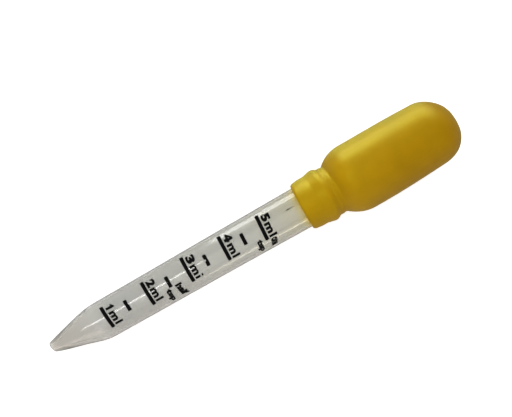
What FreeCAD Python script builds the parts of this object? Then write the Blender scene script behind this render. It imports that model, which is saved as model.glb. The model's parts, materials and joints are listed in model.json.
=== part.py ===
import FreeCAD, Part
import math
import os
import Sketcher

# A dropper pipette in two pieces, in millimetres: a clear moulded tube that ends in a conical nozzle,
# and a soft squeeze bulb stretched over the barb on the tube's rear end. Both are revolved about one
# axis, the bore's. They are drawn along X from the nozzle's tip at X = 0, and then laid down as the
# dropper rests on a table: on the tube's front shoulder and on the bulb's, which has a small flat spot.

SIZES = [
    ("overall_length", 133.0, "nozzle tip to the end of the bulb"),
    ("tube_length", 90.0, "nozzle tip to the tube's rear face"),
    ("tube_wall", 0.7, "wall of the barrel"),
    ("nozzle_bore_radius", 0.8, "hole through the tip"),
    ("nozzle_bore_length", 2.5, "straight part of that hole"),
    ("nozzle_radius", 1.5, "outside of the cone, where the tip's face would meet it"),
    ("nozzle_bevel", 0.35, "bevel of the tip's outer edge"),
    ("cone_length", 15.0, "tip to where the cone would meet the barrel"),
    ("cone_blend", 12.0, "rounding from the cone to the barrel"),
    ("barrel_front_radius", 5.52, "outside of the barrel, at the cone"),
    ("barrel_rear_radius", 6.27, "outside of the barrel, at its rear face"),
    ("barrel_flare", 8000.0, "radius of the barrel's slight flare towards its rear"),
    ("barb_length", 3.2, "rear face to the foot of the barb's ramp"),
    ("barb_land", 1.4, "straight top of the barb"),
    ("barb_height", 0.43, "barb above the barrel's rear radius"),
    ("seat_gap", 0.03, "between the tube and the bulb that grips it"),
    ("grip_length", 8.2, "length of tube inside the bulb"),
    ("collar_radius", 7.42, "outside of the bulb's collar"),
    ("lip_radius", 6.95, "outside of the lip, between its steep bevel and its gentle one"),
    ("lip_steep_bevel", 0.5, "length of the first bevel of the lip"),
    ("lip_length", 1.9, "length of both bevels"),
    ("ring_radius", 7.87, "outside of the ring over the barb"),
    ("ring_round", 7.0, "radius of the ring's section"),
    ("ring_setback", 1.25, "tube's rear face to the middle of the ring"),
    ("neck_radius", 7.25, "outside of the neck behind the ring"),
    ("neck_wall", 1.15, "wall of the neck"),
    ("shoulder_setback", 17.6, "mouth of the bulb to the end of its round shoulder"),
    ("bulb_radius", 10.1, "outside of the bulb"),
    ("bulb_wall", 1.2, "wall of the bulb, at the corners of its chamber"),
    ("flat_spot", 0.05, "how far the soft bulb gives where it rests on the table"),
]

doc = FreeCAD.newDocument("dropper_pipette")
sheet = doc.addObject("Spreadsheet::Sheet", "sizes")
for row, (alias, millimetres, meaning) in enumerate(SIZES, start=1):
    sheet.set("A%d" % row, meaning)
    sheet.set("B%d" % row, str(millimetres))
    sheet.setAlias("B%d" % row, alias)
doc.recompute()

# A sketch's own numbers for the two ends and the middle of a line or arc, and for its horizontal axis.
START, END, CENTRE = 1, 2, 3
AXIS_OF_REVOLUTION = -1

# Where the two pieces meet: places along the axis, and the barb's radius.
MOUTH_X = "sizes.tube_length - sizes.grip_length"
FOOT_X = "sizes.tube_length - sizes.barb_length"
LAND_X = "sizes.tube_length - sizes.barb_land"
RING_X = "sizes.tube_length - sizes.ring_setback"
BARB_Y = "sizes.barrel_rear_radius + sizes.barb_height"

# The middles of the bulb's round shoulder and of the dome at its end, both on the axis, and the
# chamber inside them: a cylinder between stretches of cone that have their corners one wall inside.
SHOULDER_X = MOUTH_X + " + sizes.shoulder_setback"
DOME_X = "sizes.overall_length - sizes.bulb_radius"
CHAMBER_Y = "(sizes.bulb_radius - sizes.bulb_wall)"
NECK_Y = "(sizes.neck_radius - sizes.neck_wall)"
NECK_END_X = "%s - sqrt(%s ^ 2 - %s ^ 2)" % (SHOULDER_X, CHAMBER_Y, NECK_Y)
DOME_CORNERS_DEG = (50, 15)


def value(formula):
    """The number that a formula on the sheet gives."""
    result = sheet.evalExpression(formula)
    return float(getattr(result, "Value", result))


def crossing(radius, height):
    """Where a circle is at a height above its middle: how far to the side, and at what angle."""
    return math.sqrt(radius**2 - height**2), math.degrees(math.asin(height / radius))


class Section:
    """Half of a revolved piece's section, drawn above the axis on its body's XZ plane."""

    def __init__(self, body, name):
        self.sketch = body.newObject("Sketcher::SketchObject", name)
        upright = [plane for plane in body.Origin.OriginFeatures if plane.Role == "XZ_Plane"][0]
        self.sketch.AttachmentSupport = [(upright, "")]
        self.sketch.MapMode = "FlatFace"

    def line(self, start, end):
        shape = Part.LineSegment(FreeCAD.Vector(*start, 0), FreeCAD.Vector(*end, 0))
        return self.sketch.addGeometry(shape, False)

    def arc(self, centre, radius, start_deg, end_deg):
        circle = Part.Circle(FreeCAD.Vector(*centre, 0), FreeCAD.Vector(0, 0, 1), radius)
        shape = Part.ArcOfCircle(circle, math.radians(start_deg), math.radians(end_deg))
        return self.sketch.addGeometry(shape, False)

    def barrel_arc(self, raised, first_x, last_x):
        """The barrel's flared outline from one X to another, raised by a formula: an arc whose middle
        is far outside, through the barrel's front and rear radii. Also gives back the front point."""
        flare = value("sizes.barrel_flare")
        front_x, front_y = value("sizes.cone_length"), value("sizes.barrel_front_radius")
        rear_x, rear_y = value("sizes.tube_length"), value("sizes.barrel_rear_radius")
        half = math.hypot(rear_x - front_x, rear_y - front_y) / 2
        draft = math.atan2(rear_y - front_y, rear_x - front_x)
        reach = math.sqrt(flare**2 - half**2)
        centre_x = (front_x + rear_x) / 2 - reach * math.sin(draft)
        centre_y = (front_y + rear_y) / 2 + value(raised) + reach * math.cos(draft)
        angles = [270 + math.degrees(math.asin((x - centre_x) / flare)) for x in (first_x, last_x)]
        arc = self.arc((centre_x, centre_y), flare, *angles)
        front_point = self.point("front", "sizes.cone_length", "sizes.barrel_front_radius + " + raised)
        rear_point = self.point("rear", "sizes.tube_length", "sizes.barrel_rear_radius + " + raised)
        self.hold("PointOnObject", front_point, START, arc)
        self.hold("PointOnObject", rear_point, START, arc)
        self.size("flare", "sizes.barrel_flare", "Radius", arc)
        return arc, front_point

    def point(self, name, x_formula, y_formula):
        """A construction point, fixed by two formulas."""
        place = FreeCAD.Vector(value(x_formula), value(y_formula), 0)
        point = self.sketch.addGeometry(Part.Point(place), True)
        self.corner(name, x_formula, y_formula, point, START)
        return point

    def corner(self, name, x_formula, y_formula, curve, end):
        """Fixes one end of a curve by two formulas."""
        self.size(name + "_x", x_formula, "DistanceX", curve, end)
        self.size(name + "_y", y_formula, "DistanceY", curve, end)

    def hold(self, kind, *where):
        self.sketch.addConstraint(Sketcher.Constraint(kind, *where))

    def join(self, *curves):
        """Joins each curve's end to the start of the next."""
        for curve, following in zip(curves, curves[1:]):
            self.hold("Coincident", curve, END, following, START)

    def size(self, name, formula, kind, *where):
        """A named dimension that follows a formula on the sheet."""
        dimension = Sketcher.Constraint(kind, *where, value(formula))
        index = self.sketch.addConstraint(dimension)
        self.sketch.renameConstraint(index, name)
        self.sketch.setExpression("Constraints." + name, formula)

    def revolve(self, body, name):
        revolution = body.newObject("PartDesign::Revolution", name)
        revolution.Profile = self.sketch
        revolution.ReferenceAxis = (self.sketch, ["H_Axis"])
        revolution.Angle = 360.0

    def circle_of(self, arc):
        """The middle and the radius of one of the section's solved arcs."""
        shape = self.sketch.Geometry[arc]
        return shape.Center.x, shape.Center.y, shape.Radius


def tube_body():
    """The tube: one closed section of the nozzle, cone, barrel and barb, revolved. Gives back the body,
    its section, and the arc of that section that the dropper rests on."""
    body = doc.addObject("PartDesign::Body", "graduated_tube")
    body.Label = "graduated_tube"
    part = Section(body, "tube_section")

    length, wall = value("sizes.tube_length"), value("sizes.tube_wall")
    bore, bore_end = value("sizes.nozzle_bore_radius"), value("sizes.nozzle_bore_length")
    tip, bevel_size = value("sizes.nozzle_radius"), value("sizes.nozzle_bevel")
    cone, blend = value("sizes.cone_length"), value("sizes.cone_blend")
    front, rear = value("sizes.barrel_front_radius"), value("sizes.barrel_rear_radius")
    foot, land, barb = value(FOOT_X), value(LAND_X), value(BARB_Y)
    slope = math.atan2(front - tip, cone)
    tangent = blend * math.tan(slope / 2)
    cone_end = (cone - tangent * math.cos(slope), front - tangent * math.sin(slope))

    # Outside, from the tip's face to the rear face.
    face = part.line((0, bore), (0, tip - bevel_size))
    bevel = part.line((0, tip - bevel_size), (bevel_size, tip))
    cone_out = part.line((bevel_size, tip), cone_end)
    blend_out = part.arc((cone + tangent, front - blend), blend, 90, 90 + math.degrees(slope))
    barrel_out, front_point = part.barrel_arc("0", cone + tangent, foot)
    barb_ramp = part.line((foot, rear), (land, barb))
    barb_land = part.line((land, barb), (length, barb))
    rear_face = part.line((length, barb), (length, rear - wall))
    # Inside, from the rear face back to the tip.
    flare_x, flare_y, flare = part.circle_of(barrel_out)
    flare_deg = [270 + math.degrees((x - flare_x) / flare) for x in (cone, length)]
    barrel_in = part.arc((flare_x, flare_y), flare + wall, *flare_deg)
    cone_in = part.line((cone, front - wall), (bore_end, bore))
    bore_line = part.line((bore_end, bore), (0, bore))

    part.join(face, bevel, cone_out)
    part.hold("Tangent", cone_out, END, blend_out, END)
    part.hold("Tangent", blend_out, START, barrel_out, START)
    part.join(barrel_out, barb_ramp, barb_land, rear_face)
    part.hold("Coincident", rear_face, END, barrel_in, END)
    part.hold("Coincident", barrel_in, START, cone_in, START)
    part.join(cone_in, bore_line, face)
    part.hold("Vertical", face)
    part.hold("Vertical", rear_face)
    part.hold("Horizontal", barb_land)
    part.hold("Horizontal", bore_line)

    # The cone runs from the tip's radius to the barrel's front, and the two flares have one middle.
    tip_point = part.point("tip", "0", "sizes.nozzle_radius")
    part.hold("PointOnObject", tip_point, START, cone_out)
    part.hold("PointOnObject", front_point, START, cone_out)
    part.hold("Coincident", barrel_in, CENTRE, barrel_out, CENTRE)

    part.corner("bore_mouth", "0", "sizes.nozzle_bore_radius", face, START)
    part.size("bevel_x", "sizes.nozzle_bevel", "DistanceX", bevel, END)
    part.size("bevel_y", "sizes.nozzle_radius - sizes.nozzle_bevel", "DistanceY", bevel, START)
    part.size("blend", "sizes.cone_blend", "Radius", blend_out)
    part.size("foot_x", FOOT_X, "DistanceX", barb_ramp, START)
    part.corner("land", LAND_X, BARB_Y, barb_land, START)
    part.size("length", "sizes.tube_length", "DistanceX", rear_face, START)
    part.size("inner_flare", "sizes.barrel_flare + sizes.tube_wall", "Radius", barrel_in)
    part.size("inner_front", "sizes.cone_length", "DistanceX", cone_in, START)
    part.size("bore_end", "sizes.nozzle_bore_length", "DistanceX", bore_line, START)
    part.revolve(body, "tube_revolved")
    return body, part, blend_out


def bulb_body():
    """The bulb: its lip and ring stretched over the tube's end and barb, and the chamber behind them.
    Gives back the body, its section, and the arc of that section that the dropper rests on."""
    body = doc.addObject("PartDesign::Body", "round_bulb")
    part = Section(body, "bulb_section")

    length, gap = value("sizes.overall_length"), value("sizes.seat_gap")
    mouth, foot, land = value(MOUTH_X), value(FOOT_X), value(LAND_X)
    stop = value("sizes.tube_length") + gap
    grip, pocket_y = value("sizes.barrel_rear_radius") + gap, value(BARB_Y) + gap
    collar_y, lip = value("sizes.collar_radius"), value("sizes.lip_radius")
    steep_end, lip_end = mouth + value("sizes.lip_steep_bevel"), mouth + value("sizes.lip_length")
    ring, ring_round = value("sizes.ring_radius"), value("sizes.ring_round")
    ring_x, neck = value(RING_X), value("sizes.neck_radius")
    shoulder_x, widest, dome_x = value(SHOULDER_X), value("sizes.bulb_radius"), value(DOME_X)
    chamber_y, neck_y, neck_end = value(CHAMBER_Y), value(NECK_Y), value(NECK_END_X)
    ring_y = ring - ring_round
    ring_front, ring_front_deg = crossing(ring_round, collar_y - ring_y)
    ring_rear, ring_rear_deg = crossing(ring_round, neck - ring_y)
    shoulder_front, shoulder_deg = crossing(widest, neck)
    corners = []
    for angle in DOME_CORNERS_DEG:
        out = FreeCAD.Rotation(FreeCAD.Vector(0, 0, 1), angle).multVec(FreeCAD.Vector(chamber_y, 0, 0))
        corners.append((dome_x + out.x, out.y))

    # Outside, from the mouth to the end of the dome.
    lip_front = part.line((mouth, grip), (steep_end, lip))
    lip_bevel = part.line((steep_end, lip), (lip_end, collar_y))
    collar = part.line((lip_end, collar_y), (ring_x - ring_front, collar_y))
    ring_arc = part.arc((ring_x, ring_y), ring_round, ring_rear_deg, 180 - ring_front_deg)
    neck_line = part.line((ring_x + ring_rear, neck), (shoulder_x - shoulder_front, neck))
    shoulder = part.arc((shoulder_x, 0), widest, 90, 180 - shoulder_deg)
    side = part.line((shoulder_x, widest), (dome_x, widest))
    dome = part.arc((dome_x, 0), widest, 0, 90)
    # Inside, from the dome back to the mouth.
    apex = part.line((length, 0), (corners[1][0], 0))
    chamber_end = part.line((corners[1][0], 0), corners[1])
    end_cone = part.line(corners[1], corners[0])
    side_cone = part.line(corners[0], (dome_x, chamber_y))
    chamber_side = part.line((dome_x, chamber_y), (shoulder_x, chamber_y))
    front_cone = part.line((shoulder_x, chamber_y), (neck_end, neck_y))
    neck_hole = part.line((neck_end, neck_y), (stop, neck_y))
    stop_face = part.line((stop, neck_y), (stop, pocket_y))
    pocket = part.line((stop, pocket_y), (land, pocket_y))
    pocket_ramp = part.line((land, pocket_y), (foot, grip))
    mouth_arc, _ = part.barrel_arc("sizes.seat_gap", mouth, foot)

    part.join(lip_front, lip_bevel, collar)
    part.hold("Coincident", collar, END, ring_arc, END)
    part.hold("Coincident", ring_arc, START, neck_line, START)
    part.hold("Coincident", neck_line, END, shoulder, END)
    part.hold("Tangent", shoulder, START, side, START)
    part.hold("Tangent", side, END, dome, END)
    part.hold("Coincident", dome, START, apex, START)
    part.join(apex, chamber_end, end_cone, side_cone, chamber_side, front_cone)
    part.join(front_cone, neck_hole, stop_face, pocket, pocket_ramp)
    part.hold("Coincident", pocket_ramp, END, mouth_arc, END)
    part.hold("Coincident", mouth_arc, START, lip_front, START)
    for level in (collar, neck_line, side, apex, pocket):
        part.hold("Horizontal", level)
    for upright in (chamber_end, stop_face):
        part.hold("Vertical", upright)

    part.size("mouth", MOUTH_X, "DistanceX", mouth_arc, START)
    part.corner("lip", MOUTH_X + " + sizes.lip_steep_bevel", "sizes.lip_radius", lip_bevel, START)
    part.corner("collar", MOUTH_X + " + sizes.lip_length", "sizes.collar_radius", collar, START)
    part.corner("ring", RING_X, "sizes.ring_radius - sizes.ring_round", ring_arc, CENTRE)
    part.size("ring_section", "sizes.ring_round", "Radius", ring_arc)
    part.size("neck", "sizes.neck_radius", "DistanceY", neck_line, START)
    part.corner("shoulder", SHOULDER_X, "0", shoulder, CENTRE)
    part.size("shoulder_round", "sizes.bulb_radius", "Radius", shoulder)
    part.corner("dome_end", "sizes.overall_length", "0", apex, START)
    part.hold("PointOnObject", dome, CENTRE, AXIS_OF_REVOLUTION)
    for line, angle in zip((side_cone, end_cone), DOME_CORNERS_DEG):
        x_formula = "%s + %s * cos(%d deg)" % (DOME_X, CHAMBER_Y, angle)
        y_formula = "%s * sin(%d deg)" % (CHAMBER_Y, angle)
        part.corner("chamber_%d" % angle, x_formula, y_formula, line, START)
    part.corner("chamber_rear", DOME_X, CHAMBER_Y, chamber_side, START)
    part.corner("chamber_front", SHOULDER_X, CHAMBER_Y, front_cone, START)
    part.corner("neck_end", NECK_END_X, NECK_Y, neck_hole, START)
    part.corner("stop", "sizes.tube_length + sizes.seat_gap", NECK_Y, stop_face, START)
    part.corner("pocket", LAND_X, BARB_Y + " + sizes.seat_gap", pocket, END)
    part.size("pocket_foot", FOOT_X, "DistanceX", pocket_ramp, END)
    part.revolve(body, "bulb_revolved")
    return body, part, shoulder


def lay_down(bodies, front_circle, rear_circle):
    """Lays the bodies on the table at Z = 0: tilts the axis until the first circle touches it and the
    second is pressed into it by the flat spot, and moves the middle of the common box to X = 0. Both
    circles are given in the section's plane."""
    front_x, front_y, front_round = front_circle
    rear_x, rear_y, rear_round = rear_circle
    along, out = rear_x - front_x, rear_y - front_y
    rise = rear_round - value("sizes.flat_spot") - front_round
    tilt = math.atan2(out, along) + math.asin(rise / math.hypot(along, out))
    lift = front_round + front_y * math.cos(tilt) - front_x * math.sin(tilt)
    turn = FreeCAD.Rotation(FreeCAD.Vector(0, 1, 0), -math.degrees(tilt))
    for body in bodies:
        body.Placement = FreeCAD.Placement(FreeCAD.Vector(0, 0, lift), turn)
    doc.recompute()
    boxes = [body.Shape.optimalBoundingBox(False) for body in bodies]
    middle = (min(box.XMin for box in boxes) + max(box.XMax for box in boxes)) / 2
    for body in bodies:
        body.Placement = FreeCAD.Placement(FreeCAD.Vector(-middle, 0, lift), turn)
    doc.recompute()


def flatten(body, label):
    """The body without what is below the table, a slab that is longer and wider than it."""
    table = doc.addObject("Part::Box", label + "_table")
    table.setExpression("Length", "2 * sizes.overall_length")
    table.setExpression("Width", "4 * sizes.bulb_radius")
    table.setExpression("Height", "sizes.bulb_radius")
    doc.recompute()
    corner = FreeCAD.Vector(-table.Length.Value / 2, -table.Width.Value / 2, -table.Height.Value)
    table.Placement = FreeCAD.Placement(corner, FreeCAD.Rotation())
    flattened = doc.addObject("Part::Cut", label)
    flattened.Base = body
    flattened.Tool = table
    flattened.Label = label
    doc.recompute()
    return flattened


tube, tube_section, tube_shoulder = tube_body()
round_bulb, bulb_section, bulb_shoulder = bulb_body()
doc.recompute()
lay_down(
    (tube, round_bulb),
    tube_section.circle_of(tube_shoulder),
    bulb_section.circle_of(bulb_shoulder),
)
bulb = flatten(round_bulb, "squeeze_bulb")

for item in doc.Objects:
    if {"Invalid", "Error"} & set(item.State):
        raise RuntimeError("%s failed: %s" % (item.Label, item.State))
for piece in (tube, bulb):
    if piece.Shape.isNull() or not piece.Shape.isValid():
        raise RuntimeError("%s has no valid shape" % piece.Label)

os.makedirs("parts", exist_ok=True)
for piece in (tube, bulb):
    piece.Shape.exportStep(os.path.join("parts", piece.Label + ".step"))
    print("%s: %.1f cubic millimetres" % (piece.Label, piece.Shape.Volume))
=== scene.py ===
import bmesh
import bpy
import json
import math
from mathutils import Matrix, Vector


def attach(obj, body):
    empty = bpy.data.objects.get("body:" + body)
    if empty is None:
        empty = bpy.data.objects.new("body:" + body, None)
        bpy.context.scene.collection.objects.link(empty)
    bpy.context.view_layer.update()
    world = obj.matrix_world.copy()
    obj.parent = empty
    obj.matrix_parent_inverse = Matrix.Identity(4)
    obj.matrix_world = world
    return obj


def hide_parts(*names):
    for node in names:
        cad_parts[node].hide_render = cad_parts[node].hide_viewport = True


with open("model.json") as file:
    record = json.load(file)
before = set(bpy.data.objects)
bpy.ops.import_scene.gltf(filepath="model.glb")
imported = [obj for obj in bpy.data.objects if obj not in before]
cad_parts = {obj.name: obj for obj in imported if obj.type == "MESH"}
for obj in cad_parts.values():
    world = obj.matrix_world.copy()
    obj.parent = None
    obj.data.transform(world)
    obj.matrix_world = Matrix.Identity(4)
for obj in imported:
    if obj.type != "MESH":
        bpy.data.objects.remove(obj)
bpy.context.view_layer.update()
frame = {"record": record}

# ------------------------------------------------------------------------------------------------
# The tube: one injection-moulded piece of clear, slightly milky plastic. A conical nozzle runs
# into a barrel that flares a little towards its rear, where a barb holds the bulb. It is drawn
# along X from the nozzle's tip, in millimetres, and then laid where the frame has it.
# ------------------------------------------------------------------------------------------------
MM = 0.001
ROUND_STEPS = 128
ARC_STEP_DEG = 4.5
RUN_LENGTH = 4.0

TUBE_LENGTH = 90.0
TUBE_WALL = 0.7
NOZZLE_BORE = 0.8
NOZZLE_BORE_LENGTH = 2.5
NOZZLE_RADIUS = 1.6
CONE_LENGTH = 15.0
BARREL_FRONT = 5.62
BARREL_REAR = 6.27
BARREL_HOLLOW = 0.04
BARB_LENGTH = 3.2
BARB_LAND = 1.4
BARB_FOOT_RADIUS = BARREL_REAR - 0.03
BARB_RADIUS = BARREL_REAR + 0.43

# The real tube isn't quite true: its front half bows aside, its cone bends the other way, the
# corner between cone and barrel stands aslant, and so does the trimmed end of the nozzle. A run
# is where, from and to along the dropper, such a shift comes in or fades.
TUBE_BOW, BOW_RUN = 0.1, (25, 58)
CONE_BEND, BEND_RUN = 0.38, (8, 17)
CORNER_SLANT, CORNER_PIVOT, CORNER_RUN_IN, CORNER_RUN_OUT = 0.06, 2.5, (6, 13), (15, 18.5)
TIP_TRIM, TIP_SLANT, TIP_RUN = 0.15, 0.3, (0, 3)

nozzle_hole = frame["record"]["mounts"][0]
along = -Vector(nozzle_hole["axis"])
tip = Vector(nozzle_hole["pos_m"]) - along * nozzle_hole["dims"]["length_mm"] / 2 * MM
across = Vector((0, 1, 0))
upward = along.cross(across)
LAID_DOWN = Matrix.Translation(tip) @ Matrix((along, across, upward)).transposed().to_4x4()
LAID_DOWN @= Matrix.Scale(MM, 4)


def rounded(corners, closed):
    """An outline through corners of (along, out, rounding), with an arc at each rounding and
    points at even steps on the long straight runs."""
    arcs = []
    for index, (x, r, rounding) in enumerate(corners):
        corner = Vector((x, r))
        if not rounding:
            arcs.append([corner])
            continue
        back = (Vector(corners[index - 1][:2]) - corner).normalized()
        on = (Vector(corners[(index + 1) % len(corners)][:2]) - corner).normalized()
        half = back.angle(on) / 2
        centre = corner + (back + on).normalized() * rounding / math.sin(half)
        first = corner + back * rounding / math.tan(half) - centre
        last = corner + on * rounding / math.tan(half) - centre
        turn = math.pi - 2 * half
        steps = max(3, math.ceil(turn / math.radians(ARC_STEP_DEG)))
        shares = [step / steps for step in range(steps + 1)]
        arcs.append(
            [
                centre
                + (first * math.sin((1 - f) * turn) + last * math.sin(f * turn)) / math.sin(turn)
                for f in shares
            ]
        )
    waypoints = [point for arc in arcs for point in arc]
    if closed:
        waypoints.append(waypoints[0])
    outline = [waypoints[0]]
    for point in waypoints[1:]:
        start = outline[-1]
        runs = max(1, math.ceil((point - start).length / RUN_LENGTH))
        outline += [start.lerp(point, run / runs) for run in range(1, runs + 1)]
    return outline[:-1] if closed else outline


def turned(outline, closed):
    """A mesh turned about the dropper's axis from an outline."""
    mesh = bmesh.new()
    points = [mesh.verts.new((x, 0, r)) for x, r in outline]
    pairs = list(zip(points, points[1:]))
    if closed:
        pairs.append((points[-1], points[0]))
    edges = [mesh.edges.new(pair) for pair in pairs]
    bmesh.ops.spin(
        mesh,
        geom=points + edges,
        cent=(0, 0, 0),
        axis=(1, 0, 0),
        dvec=(0, 0, 0),
        angle=2 * math.pi,
        steps=ROUND_STEPS,
        use_merge=True,
    )
    bmesh.ops.remove_doubles(mesh, verts=mesh.verts, dist=1e-4)
    bmesh.ops.recalc_face_normals(mesh, faces=mesh.faces)
    return mesh


def eased(x, run):
    """Nought before a run, one after it, and a smooth step between."""
    start, end = run
    share = min(max((x - start) / (end - start), 0), 1)
    return share * share * (3 - 2 * share)


def dropper_piece(mesh, name, material, crease_deg=40):
    """A finished piece from a mesh in millimetres: bowed with the tube, laid down, smooth, and on
    the frame's only body."""
    data = bpy.data.meshes.new(name)
    for vertex in mesh.verts:
        vertex.co.y -= TUBE_BOW * (1 - eased(vertex.co.x, BOW_RUN))
    mesh.transform(LAID_DOWN)
    mesh.to_mesh(data)
    mesh.free()
    data.shade_smooth()
    data.set_sharp_from_angle(angle=math.radians(crease_deg))
    data.materials.append(material)
    piece = bpy.data.objects.new(name, data)
    bpy.context.scene.collection.objects.link(piece)
    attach(piece, "root")
    return piece


def new_material(name, **sockets):
    """A Principled material with its constants on the shader's own sockets."""
    material = bpy.data.materials.new(name)
    material.use_nodes = True
    shader = material.node_tree.nodes["Principled BSDF"]
    for socket, setting in sockets.items():
        shader.inputs[socket.replace("_", " ")].default_value = setting
    return material, shader


def flare_sag(x):
    """How far the barrel's flare lies inside the straight line from its front to its rear."""
    share = min(max((x - CONE_LENGTH) / (TUBE_LENGTH - CONE_LENGTH), 0), 1)
    return BARREL_HOLLOW * 4 * share * (1 - share)


def share_along(material, start, end):
    """A node that runs from its To Min to its To Max between two places along the dropper."""
    nodes, links = material.node_tree.nodes, material.node_tree.links
    position = nodes.new("ShaderNodeTexCoord")
    split = nodes.new("ShaderNodeSeparateXYZ")
    links.new(position.outputs["Object"], split.inputs[0])
    share = nodes.new("ShaderNodeMapRange")
    share.inputs["From Min"].default_value = (tip + along * start * MM).x
    share.inputs["From Max"].default_value = (tip + along * end * MM).x
    links.new(split.outputs["X"], share.inputs["Value"])
    return share


def colour_along(material, stops):
    """A colour that changes along the dropper: stops of (millimetres from the tip, colour)."""
    start, end = stops[0][0], stops[-1][0]
    ramp = material.node_tree.nodes.new("ShaderNodeValToRGB")
    colours = ramp.color_ramp.elements
    colours[0].color = stops[0][1]
    colours[1].color = stops[-1][1]
    for place, colour in stops[1:-1]:
        colours.new((place - start) / (end - start)).color = colour
    material.node_tree.links.new(share_along(material, start, end).outputs[0], ramp.inputs["Fac"])
    return ramp.outputs["Color"]


# The nozzle is the clearest. Towards the bulb the tint turns yellow: a painted glow of the bulb's
# yellow light in the tube's wall.
clear_plastic, shader = new_material(
    "clear_plastic", Roughness=0.08, IOR=1.49, Transmission_Weight=0.9
)
nodes, links = clear_plastic.node_tree.nodes, clear_plastic.node_tree.links
tint_and_painted_glow = colour_along(
    clear_plastic,
    [
        (0, (0.98, 0.965, 0.95, 1)),
        (6, (0.97, 0.96, 0.945, 1)),
        (13, (0.93, 0.93, 0.915, 1)),
        (20, (0.853, 0.858, 0.85, 1)),
        (64, (0.853, 0.858, 0.832, 1)),
        (74, (0.86, 0.855, 0.80, 1)),
        (79.6, (0.87, 0.855, 0.745, 1)),
        (80.9, (0.91, 0.85, 0.60, 1)),
        (82, (0.94, 0.80, 0.32, 1)),
    ],
)
links.new(tint_and_painted_glow, shader.inputs["Base Color"])
# The plastic itself takes a little of the light, most where one looks along the wall.
haze = nodes.new("ShaderNodeVolumeAbsorption")
haze.inputs["Color"].default_value = (0.52, 0.5, 0.45, 1)
haze.inputs["Density"].default_value = 620.0
links.new(haze.outputs["Volume"], nodes["Material Output"].inputs["Volume"])

tube_outline = rounded(
    [
        (0, NOZZLE_BORE, 0.15),
        (0, NOZZLE_RADIUS - 0.05, 0.4),
        (CONE_LENGTH, BARREL_FRONT, 20),
        (TUBE_LENGTH - BARB_LENGTH, BARB_FOOT_RADIUS, 0),
        (TUBE_LENGTH - BARB_LAND, BARB_RADIUS, 0),
        (TUBE_LENGTH, BARB_RADIUS, 0.15),
        (TUBE_LENGTH, BARREL_REAR - TUBE_WALL, 0.15),
        (CONE_LENGTH, BARREL_FRONT - TUBE_WALL, 8),
        (NOZZLE_BORE_LENGTH, NOZZLE_BORE, 1.5),
    ],
    closed=True,
)
tube_mesh = turned(tube_outline, closed=True)
for vertex in tube_mesh.verts:
    x = vertex.co.x
    out = math.hypot(vertex.co.y, vertex.co.z)
    slimmer = (out - flare_sag(x)) / out
    vertex.co.y *= slimmer
    vertex.co.z *= slimmer
    at_corner = eased(x, CORNER_RUN_IN) * (1 - eased(x, CORNER_RUN_OUT))
    vertex.co.x += CORNER_SLANT * (CORNER_PIVOT - vertex.co.y) * at_corner
    vertex.co.x += (TIP_TRIM + TIP_SLANT * max(0, -vertex.co.y)) * (1 - eased(x, TIP_RUN))
    vertex.co.y += CONE_BEND * (1 - eased(x, BEND_RUN))
tube = dropper_piece(tube_mesh, "clear_tube", clear_plastic)
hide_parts("graduated_tube")

# ------------------------------------------------------------------------------------------------
# The print on the tube: black ink, pad-printed in one hit on the finished barrel. A long mark and
# its figure for each millilitre, a short mark for each half, and the two kitchen spoon measures.
# Spans are in degrees round the barrel from its top.
# ------------------------------------------------------------------------------------------------
INK_FILM = 0.02
INK_LIFT = 0.006
CUT_LENGTH = 0.3
FIRST_MARK = 18.8
FRONT_SPACING = 6.64
REAR_SPACING = 6.02
SPACING_RUN = (4, 6)
FAN_FRONT_DEG = 4.7
FAN_LOSS_DEG = 0.152
SHORT_MARK = (-21, 13)
MARK_WIDTH = 1.1
LETTER_FOOT = 0.92
FIGURE_HEIGHT = 2.6
FIGURE_WEIGHT = 0.065
LETTER_M_WEIGHT = 0.05
# How high the letters m and l behind each figure stand, and what they span.
LETTER_M = (1.75, (-12, 17.6))
LETTER_L = (2.45, (22.2, 29.2))

ink, _ = new_material(
    "black_ink", Base_Color=(0.003, 0.003, 0.003, 1), Roughness=0.6, Specular_IOR_Level=0.03
)


def barrel_radius(x):
    """Outside of the barrel at a place along it."""
    share = (x - CONE_LENGTH) / (TUBE_LENGTH - CONE_LENGTH)
    return BARREL_FRONT + (BARREL_REAR - BARREL_FRONT) * share - flare_sag(x)


def pad_lean(x):
    """Slope of a mark at a place along the barrel: the soft pad fans the print a little."""
    return math.tan(math.radians(FAN_FRONT_DEG - (x - FIRST_MARK) * FAN_LOSS_DEG))


def pad_printed(flat, place):
    """Wraps a flat mesh on the barrel: its X runs round the barrel from the top, its Y along it
    from a place. It is cut into strips that follow the curve, and gets the ink's thickness."""
    low = min(vertex.co.x for vertex in flat.verts)
    high = max(vertex.co.x for vertex in flat.verts)
    for cut in range(1, math.ceil((high - low) / CUT_LENGTH)):
        bmesh.ops.bisect_plane(
            flat,
            geom=flat.verts[:] + flat.edges[:] + flat.faces[:],
            plane_co=(low + cut * CUT_LENGTH, 0, 0),
            plane_no=(1, 0, 0),
        )
    bmesh.ops.solidify(flat, geom=flat.faces[:], thickness=-INK_FILM)
    bmesh.ops.recalc_face_normals(flat, faces=flat.faces)
    for vertex in flat.verts:
        round_way, x, film = vertex.co
        x += place + pad_lean(place) * round_way
        radius = barrel_radius(x) + INK_LIFT + film
        angle = round_way / barrel_radius(x)
        vertex.co = (x, -radius * math.sin(angle), radius * math.cos(angle))
    return flat


def bar(span_deg, place):
    """A flat mark that spans some degrees of the barrel."""
    start, end = [math.radians(angle) * barrel_radius(place) for angle in span_deg]
    flat = bmesh.new()
    bmesh.ops.create_grid(flat, x_segments=1, y_segments=1, size=0.5)
    bmesh.ops.scale(flat, vec=(end - start, MARK_WIDTH, 1), verts=flat.verts)
    bmesh.ops.translate(flat, vec=((start + end) / 2, 0, 0), verts=flat.verts)
    return flat


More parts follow.
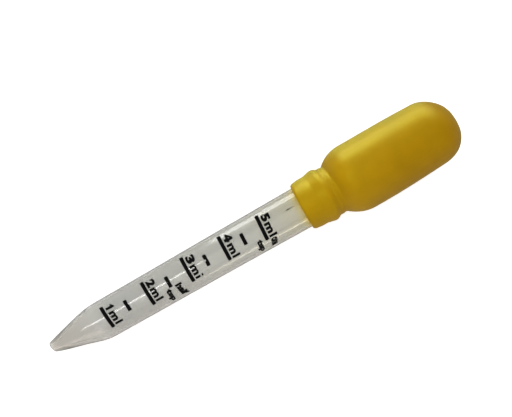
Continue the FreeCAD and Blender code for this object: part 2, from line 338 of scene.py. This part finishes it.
def letters(words, weight=0.0):
    """Flat words, with their strokes made heavier by a weight."""
    curve = bpy.data.curves.new("letters", "FONT")
    curve.body = words
    curve.offset = weight
    curve.resolution_u = 5
    text = bpy.data.objects.new("letters", curve)
    bpy.context.scene.collection.objects.link(text)
    bpy.context.view_layer.update()
    depsgraph = bpy.context.evaluated_depsgraph_get()
    shapes = bpy.data.meshes.new_from_object(text.evaluated_get(depsgraph))
    bpy.data.objects.remove(text)
    flat = bmesh.new()
    flat.from_mesh(shapes)
    bmesh.ops.remove_doubles(flat, verts=flat.verts, dist=1e-5)
    return flat


def flagged_one():
    """A flat figure one: a bold stem with a flag."""
    flat = bmesh.new()
    corners = [(0.4, 0), (1, 0), (1, 1), (0.8, 1), (0, 0.74), (0, 0.55), (0.4, 0.62)]
    flat.faces.new([flat.verts.new((x, y, 0)) for x, y in corners])
    bmesh.ops.triangulate(flat, faces=flat.faces[:])
    return flat


def fitted(flat, place, height, span_deg, rise=0):
    """Makes a flat shape fill a span of the barrel, so high, with its foot on Y = 0. It can climb
    a little from its start to its end."""
    low = [min(vertex.co[axis] for vertex in flat.verts) for axis in (0, 1)]
    size = [max(vertex.co[axis] for vertex in flat.verts) - low[axis] for axis in (0, 1)]
    start, end = [math.radians(angle) * barrel_radius(place) for angle in span_deg]
    for vertex in flat.verts:
        share = (vertex.co.x - low[0]) / size[0]
        vertex.co.x = start + (end - start) * share
        vertex.co.y = (vertex.co.y - low[1]) / size[1] * height + rise * share
    return flat


def worn(flat, along_x, along_y):
    """Takes the ink off a small rectangle of a flat print."""
    for axis, limits in enumerate((along_x, along_y)):
        for limit in limits:
            bmesh.ops.bisect_plane(
                flat,
                geom=flat.verts[:] + flat.edges[:] + flat.faces[:],
                plane_co=Vector((limit, limit, 0)),
                plane_no=(1 - axis, axis, 0),
            )
    gone = []
    for face in flat.faces:
        x, y, _ = face.calc_center_median()
        if along_x[0] < x < along_x[1] and along_y[0] < y < along_y[1]:
            gone.append(face)
    bmesh.ops.delete(flat, geom=gone, context="FACES")
    return flat


# What each long mark spans and what its figure spans, by its number of millilitres.
FIGURES = {
    1: ((-39.5, 33), (-33.5, -20.3)),
    2: ((-45, 34), (-38.5, -15.5)),
    3: ((-52, 31.5), (-43.5, -17)),
    4: ((-50, 29.5), (-43, -16.8)),
    5: ((-46, 32), (-38.5, -16)),
}
# Where the spoon words stand: by which mark, how far their foot is from it, how high they are,
# what they span, and how far they climb.
SPOON_WORDS = [
    (5, "half", 1.0, 2.1, (13, 58), 0.6),
    (5, "tsp", -2.4, 2.1, (13, 58), 0.0),
    (10, "one", 0.9, 2.0, (33, 62), -0.5),
    (10, "tsp", -3.6, 2.2, (19, 60), 0.0),
]
# Where ink has rubbed off: the letter l of the third figure and the short mark behind it.
RUBBED_LETTER = ((2.0, 3.4), (1.5, 1.9))
RUBBED_MARK = ((-0.75, -0.25), (-0.6, -0.12))

# The pad dragged a dot of ink out into a thin tail, behind the last mark.
SMUDGE_PLACE = 77.7
SMUDGE_DEG = -14.2
SMUDGE_RADIUS = 0.17
TAIL_WIDTH = 0.3
TAIL_LENGTH = 14
smudge = bmesh.new()
bmesh.ops.create_circle(smudge, cap_ends=True, segments=16, radius=SMUDGE_RADIUS)
for vertex in smudge.verts:
    if vertex.co.y > SMUDGE_RADIUS / 2:
        vertex.co.x *= TAIL_WIDTH
        vertex.co.y *= TAIL_LENGTH
    vertex.co.x += math.radians(SMUDGE_DEG) * barrel_radius(SMUDGE_PLACE)
bmesh.ops.triangulate(smudge, faces=smudge.faces[:])
dropper_piece(pad_printed(smudge, SMUDGE_PLACE), "ink_smudge", ink)

# The marks, counted in half millilitres from the nozzle.
FIRST_HALF, LAST_HALF = 2, 10
RUBBED_LETTER_HALF, RUBBED_MARK_HALF = 6, 7
place = FIRST_MARK
for half in range(FIRST_HALF, LAST_HALF + 1):
    number = half // 2
    if half % 2:
        mark = bar(SHORT_MARK, place)
    else:
        mark_span, figure_span = FIGURES[number]
        mark = bar(mark_span, place)
        figure = flagged_one() if number == 1 else letters(str(number), FIGURE_WEIGHT)
        small_l = fitted(letters("l"), place, *LETTER_L)
        if half == RUBBED_LETTER_HALF:
            worn(small_l, *RUBBED_LETTER)
        shapes = {
            "figure_%d" % number: fitted(figure, place, FIGURE_HEIGHT, figure_span),
            "letter_m_%d" % number: fitted(letters("m", LETTER_M_WEIGHT), place, *LETTER_M),
            "letter_l_%d" % number: small_l,
        }
        for name, shape in shapes.items():
            dropper_piece(pad_printed(shape, place + LETTER_FOOT), name, ink)
    if half == RUBBED_MARK_HALF:
        worn(mark, *RUBBED_MARK)
    dropper_piece(pad_printed(mark, place), "mark_%d_half_ml" % half, ink)
    for spoon_half, words, foot, height, span, rise in SPOON_WORDS:
        if half == spoon_half:
            shape = fitted(letters(words, FIGURE_WEIGHT), place, height, span, rise)
            name = "%s_at_%d_half_ml" % (words, half)
            dropper_piece(pad_printed(shape, place + foot), name, ink)
    place += FRONT_SPACING - (FRONT_SPACING - REAR_SPACING) * eased(half, SPACING_RUN)

# ------------------------------------------------------------------------------------------------
# The squeeze bulb: soft yellow vinyl, dip-moulded over a steel former, with a satin skin. Its
# collar is stretched over the tube's barb, which pushes up a ring. Being soft, it is a little
# askew all over.
# ------------------------------------------------------------------------------------------------
BULB_WALL = 1.2
SEAT_GAP = 0.03
MOUTH = 81.8
BULB_END = 132.3
BULB_RADIUS = 10.25
CHAMBER_RADIUS = 9.05
NECK_BORE = 6.04

# It tapers behind its widest place. Its middle leans aside and its very end leans back, and the
# lip, the ring, the shoulder and the end each shear along it by a share of height or width.
WIDEST, TAPER = 104.0, 0.00012
BULB_LEAN, LEAN_RUN = 0.52, (100, 130)
END_SKEW, SKEW_RUN = 0.33, (124.5, 130.5)
END_SHEAR, END_RUN = 0.018, (124, 131)
SHOULDER_SHEAR, SHOULDER_RUN = 0.045, (90.5, 94)
LIP_SHEAR, LIP_RUN = 0.06, (82, 86)
RING_SHEAR, RING_RUN_IN, RING_RUN_OUT = 0.12, (82.5, 87.5), (92, 99)
# The ring's shear leaves the seat in place and moves only the skin farther out than this.
SKIN_FROM = BARB_RADIUS + 0.2

soft_vinyl, shader = new_material(
    "soft_vinyl",
    Roughness=0.42,
    Specular_Tint=(0.75, 1.0, 0.08, 1),
    Specular_IOR_Level=0.3,
    Sheen_Weight=0.1,
    Sheen_Roughness=0.35,
    Sheen_Tint=(0.6, 1.0, 0.1, 1),
)
nodes, links = soft_vinyl.node_tree.nodes, soft_vinyl.node_tree.links
# It is paler over the barb and deepest in colour on the barrel, with painted shade in the notch
# behind the ring and painted light on the shoulder's front just after it.
vinyl_colour_and_painted_shade = colour_along(
    soft_vinyl,
    [
        (89, (0.44, 0.245, 0.003, 1)),
        # Painted shade in the notch behind the ring, then painted light on the shoulder's front.
        (92, (0.40, 0.218, 0.003, 1)),
        (95, (0.49, 0.268, 0.003, 1)),
        (100, (0.42, 0.225, 0.003, 1)),
        (112, (0.385, 0.197, 0.002, 1)),
    ],
)
# A faint mottle in the colour and fine dimples in the skin, from one noise.
position = nodes.new("ShaderNodeTexCoord").outputs["Object"]
mottle = nodes.new("ShaderNodeTexNoise")
mottle.inputs["Scale"].default_value = 160.0
mottle.inputs["Detail"].default_value = 3.0
links.new(position, mottle.inputs["Vector"])
depth = nodes.new("ShaderNodeMapRange")
depth.inputs["From Min"].default_value = 0.3
depth.inputs["From Max"].default_value = 0.7
depth.inputs["To Min"].default_value = 0.94
depth.inputs["To Max"].default_value = 1.06
links.new(mottle.outputs["Fac"], depth.inputs["Value"])
mottled = nodes.new("ShaderNodeVectorMath")
mottled.operation = "SCALE"
links.new(vinyl_colour_and_painted_shade, mottled.inputs[0])
links.new(depth.outputs["Result"], mottled.inputs["Scale"])
links.new(mottled.outputs["Vector"], shader.inputs["Base Color"])
dimples = nodes.new("ShaderNodeBump")
dimples.inputs["Strength"].default_value = 0.35
dimples.inputs["Distance"].default_value = 0.0002
links.new(mottle.outputs["Fac"], dimples.inputs["Height"])
links.new(dimples.outputs["Normal"], shader.inputs["Normal"])

bulb_outline = rounded(
    [
        # The chamber, from its end to the neck.
        (BULB_END - BULB_WALL, 0, 0),
        (BULB_END - BULB_WALL, CHAMBER_RADIUS - 0.05, 8.0),
        (96.4, CHAMBER_RADIUS, 9.5),
        (92.6, NECK_BORE, 1.0),
        # The seat on the tube and its barb, out to the flared mouth.
        (TUBE_LENGTH + SEAT_GAP, NECK_BORE, 0),
        (TUBE_LENGTH + SEAT_GAP, BARB_RADIUS + SEAT_GAP, 0),
        (TUBE_LENGTH - BARB_LAND, BARB_RADIUS + SEAT_GAP, 0),
        (TUBE_LENGTH - BARB_LENGTH, BARB_FOOT_RADIUS + SEAT_GAP, 0),
        (MOUTH + 0.9, 6.2, 0),
        (MOUTH, 6.6, 0.3),
        # The lip and the collar.
        (82.45, 7.25, 1.3),
        (84.8, 7.54, 7.0),
        (86.3, 7.49, 1.5),
        # The ring over the barb, and the small step behind it.
        (89.2, 8.17, 2.2),
        (90.75, 7.32, 0.9),
        (91.6, 7.43, 1.0),
        (92.4, 7.13, 0.9),
        # The shoulder, the barrel and the domed end.
        (96.0, BULB_RADIUS, 10.6),
        (BULB_END, BULB_RADIUS - 0.02, 8.6),
        (BULB_END, 0, 0),
    ],
    closed=False,
)
bulb_mesh = turned(bulb_outline, closed=False)
for vertex in bulb_mesh.verts:
    x = vertex.co.x
    slimmer = 1 - TAPER * max(0, x - WIDEST) ** 2
    vertex.co.y *= slimmer
    vertex.co.z *= slimmer
    if math.hypot(vertex.co.y, vertex.co.z) > SKIN_FROM:
        at_ring = eased(x, RING_RUN_IN) * (1 - eased(x, RING_RUN_OUT))
        vertex.co.x += RING_SHEAR * vertex.co.z * at_ring
    vertex.co.x -= SHOULDER_SHEAR * vertex.co.y * eased(x, SHOULDER_RUN)
    vertex.co.x += END_SHEAR * vertex.co.y * eased(x, END_RUN)
    vertex.co.x -= LIP_SHEAR * vertex.co.z * (1 - eased(x, LIP_RUN))
    vertex.co.y += BULB_LEAN * eased(x, LEAN_RUN) - END_SKEW * eased(x, SKEW_RUN)
bulb = dropper_piece(bulb_mesh, "soft_bulb", soft_vinyl)
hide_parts("squeeze_bulb")

# ------------------------------------------------------------------------------------------------
# The table, the light and the camera: a sheet of white paper under the dropper, in a pale room
# with a wide window on one side. The paper lies just low enough for the bulb's swell, and keeps
# the shadow.
# ------------------------------------------------------------------------------------------------
PAPER_REACH = 1.5
PAPER_DROP = 0.0002
PAPER_GLOW = 0.59
ROOM_LIGHT = 0.25
floor_mesh = bmesh.new()
bmesh.ops.create_grid(floor_mesh, x_segments=1, y_segments=1, size=PAPER_REACH)
bmesh.ops.translate(floor_mesh, vec=(0, 0, -PAPER_DROP), verts=floor_mesh.verts)
floor_data = bpy.data.meshes.new("floor")
floor_mesh.to_mesh(floor_data)
floor_mesh.free()
floor = bpy.data.objects.new("floor", floor_data)
bpy.context.scene.collection.objects.link(floor)
floor.visible_glossy = False


def seen_strength(node_tree, plain, bright):
    """A strength that is plain for the light on the dropper, and bright where the camera sees it
    straight or through the clear plastic."""
    nodes, links = node_tree.nodes, node_tree.links
    path = nodes.new("ShaderNodeLightPath")
    seen = nodes.new("ShaderNodeMath")
    seen.operation = "MAXIMUM"
    links.new(path.outputs["Is Camera Ray"], seen.inputs[0])
    links.new(path.outputs["Is Transmission Ray"], seen.inputs[1])
    strength = nodes.new("ShaderNodeMapRange")
    strength.inputs["To Min"].default_value = plain
    strength.inputs["To Max"].default_value = bright
    links.new(seen.outputs[0], strength.inputs["Value"])
    return strength.outputs["Result"]


paper, shader = new_material(
    "white_paper",
    Base_Color=(0.9, 0.9, 0.9, 1),
    Roughness=1.0,
    Specular_IOR_Level=0.0,
    Emission_Color=(1, 1, 1, 1),
)
glow = seen_strength(paper.node_tree, 0.0, PAPER_GLOW)
paper.node_tree.links.new(glow, shader.inputs["Emission Strength"])
floor_data.materials.append(paper)

world = bpy.data.worlds.new("soft_room")
world.use_nodes = True
bpy.context.scene.world = world
background = world.node_tree.nodes["Background"]
background.inputs["Color"].default_value = (1, 0.985, 0.94, 1)
room_light = seen_strength(world.node_tree, ROOM_LIGHT, 1.0)
world.node_tree.links.new(room_light, background.inputs["Strength"])
bpy.context.scene.view_settings.view_transform = "Standard"


def soft_lamp(
    name, place_along, angle_deg, distance, size, radiance, colour, shades=True, shines=True
):
    """A flat lamp that faces a place along the dropper, in metres from its tip, and is turned
    some degrees from right above towards the window. Its size runs along the dropper and across
    it. It gives shade, shine or both."""
    turn = math.radians(angle_deg)
    aim = tip + along * place_along
    away = upward * math.cos(turn) + across * math.sin(turn)
    lamp = bpy.data.lights.new(name, "AREA")
    lamp.shape = "RECTANGLE"
    lamp.size, lamp.size_y = size
    lamp.energy = radiance * math.pi * lamp.size * lamp.size_y
    lamp.color = colour
    holder = bpy.data.objects.new(name, lamp)
    axes = Matrix((along, away.cross(along), away)).transposed().to_4x4()
    holder.matrix_world = Matrix.Translation(aim + away * distance) @ axes
    holder.visible_diffuse = shades
    holder.visible_glossy = shines
    holder.visible_transmission = shines
    bpy.context.scene.collection.objects.link(holder)
    return holder


WHITE = (1, 1, 1)
WARM = (1.0, 0.9, 0.75)
COOL = (0.78, 1.0, 1.0)
PINKISH = (1.0, 0.84, 0.82)
LEMON = (0.88, 1.0, 0.7)
LEAFY = (0.45, 1.0, 0.3)

# Daylight, which shades the dropper softly and isn't mirrored in it.
soft_lamp("sky", 0.07, 0, 0.60, (1.6, 1.6), 0.6, WHITE, shines=False)
soft_lamp("high_window", 0.10, 28, 0.64, (0.45, 0.45), 1.0, WHITE, shines=False)
soft_lamp("window", 0.13, 78, 0.60, (0.45, 0.24), 2.6, COOL, shines=False)

# Panes that only the bulb's satin skin mirrors, as one broad highlight and a few small ones.
bulb_only = bpy.data.collections.new("bulb_only")
bulb_only.objects.link(bulb)
for glint in (
    soft_lamp("window_glint", 0.18, 86, 0.50, (0.36, 0.40), 9.3, LEMON, shades=False),
    soft_lamp("table_glint", 0.18, 122, 0.50, (0.36, 0.45), 2.1, LEAFY, shades=False),
    soft_lamp("end_glint", 0.42, 84, 0.40, (0.30, 0.40), 7.2, LEMON, shades=False),
    soft_lamp("neck_glint", 0.10, 84, 0.50, (0.06, 0.12), 12.0, WHITE, shades=False),
):
    glint.light_linking.receiver_collection = bulb_only

# Panes that the whole dropper mirrors: the clear plastic shows them as fine bright lines.
soft_lamp("pane_glint", 0.08, 90, 0.50, (0.10, 0.24), 6.0, WHITE, shades=False)
soft_lamp("ceiling", 0.07, -12, 0.60, (0.80, 0.70), 0.8, WHITE, shades=False)
soft_lamp("ceiling_glint", -0.15, 11, 0.45, (0.34, 0.08), 8.0, WHITE, shades=False)
soft_lamp("far_glint", 0.07, -76, 0.50, (0.10, 0.06), 6.0, WARM, shades=False)

# Light that reaches the two ends of the dropper from the rest of the room.
soft_lamp("room_end", 0.24, -62, 0.45, (0.30, 0.30), 1.0, WARM, shines=False)
soft_lamp("end_window", 0.42, 70, 0.40, (0.30, 0.30), 2.0, WHITE, shines=False)
soft_lamp("room", -0.20, -58, 0.35, (0.20, 0.20), 1.8, PINKISH)

# The camera looks square down at the dropper, which lies slanted across its view. The middle of
# the view is a place along and across from the nozzle's tip, in metres.
CAMERA_DISTANCE = 0.45
VIEW_WIDTH = 0.1461
SLANT = math.radians(29.53)
CENTRE_ALONG = 0.07045
CENTRE_ACROSS = 0.00617
right = along * math.cos(SLANT) - across * math.sin(SLANT)
top = along * math.sin(SLANT) + across * math.cos(SLANT)
target = tip + along * CENTRE_ALONG + across * CENTRE_ACROSS
camera_data = bpy.data.cameras.new("camera")
camera_data.sensor_width = 36.0
camera_data.lens = camera_data.sensor_width * CAMERA_DISTANCE / VIEW_WIDTH
camera = bpy.data.objects.new("camera", camera_data)
turn = Matrix((right, top, right.cross(top))).transposed().to_4x4()
camera.matrix_world = Matrix.Translation(target + right.cross(top) * CAMERA_DISTANCE) @ turn
bpy.context.scene.collection.objects.link(camera)
bpy.context.scene.camera = camera
